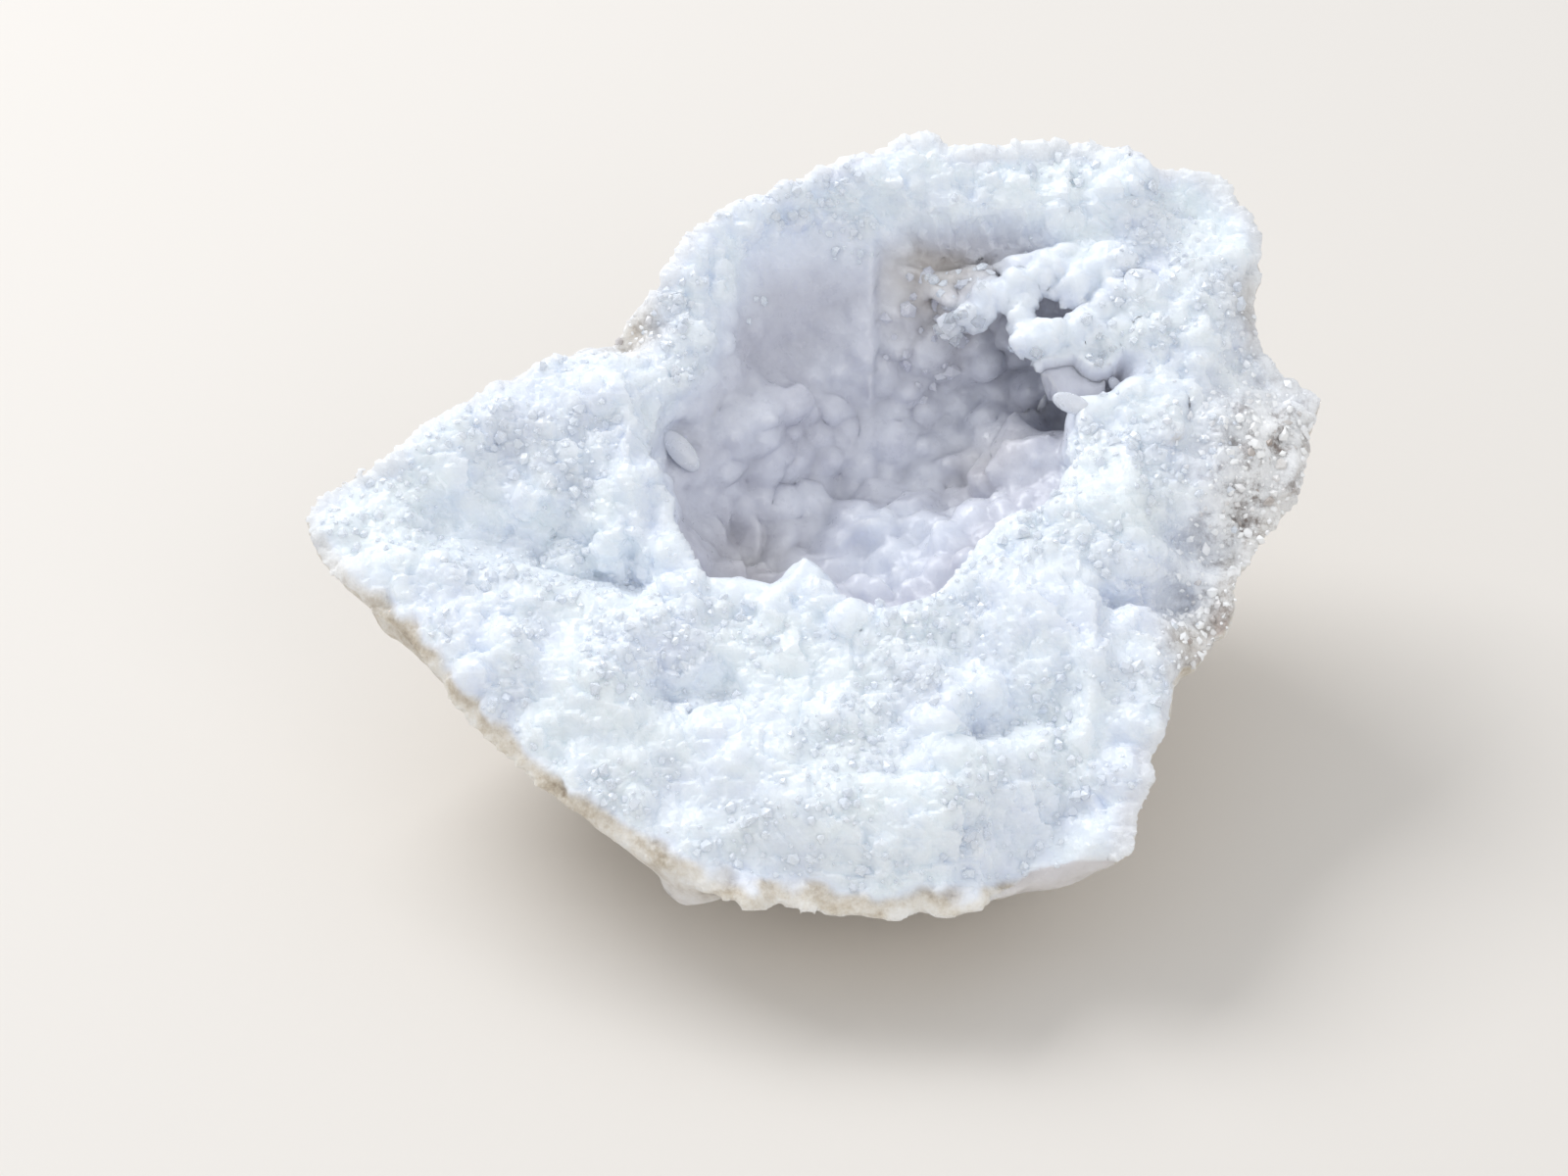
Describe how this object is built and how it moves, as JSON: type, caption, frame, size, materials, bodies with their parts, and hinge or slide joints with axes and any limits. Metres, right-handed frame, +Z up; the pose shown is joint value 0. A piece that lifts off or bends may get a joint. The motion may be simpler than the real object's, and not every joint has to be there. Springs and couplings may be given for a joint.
{
  "type": "quartz geode",
  "caption": "Half of a small broken geode: a thin chalky rind, milky quartz with a sugary broken face, and an open hollow lined with fine quartz crystals.",
  "frame": {"origin": "middle of the object's box in X and Y, at the ground under its resting spot", "axes": "+X along the longest side of the broken face, +Z up as it rests, the broken face leaning toward -Y"},
  "size_m": [0.0508, 0.0386, 0.0263],
  "materials": {
    "milky_quartz_rock": "rough milky quartz, chalky rind outside",
    "quartz_crystals": "cloudy crystal faces"
  },
  "bodies": {
    "root": {"rock_shell": "milky_quartz_rock", "crystal_crust": "quartz_crystals"}
  },
  "joints": []
}
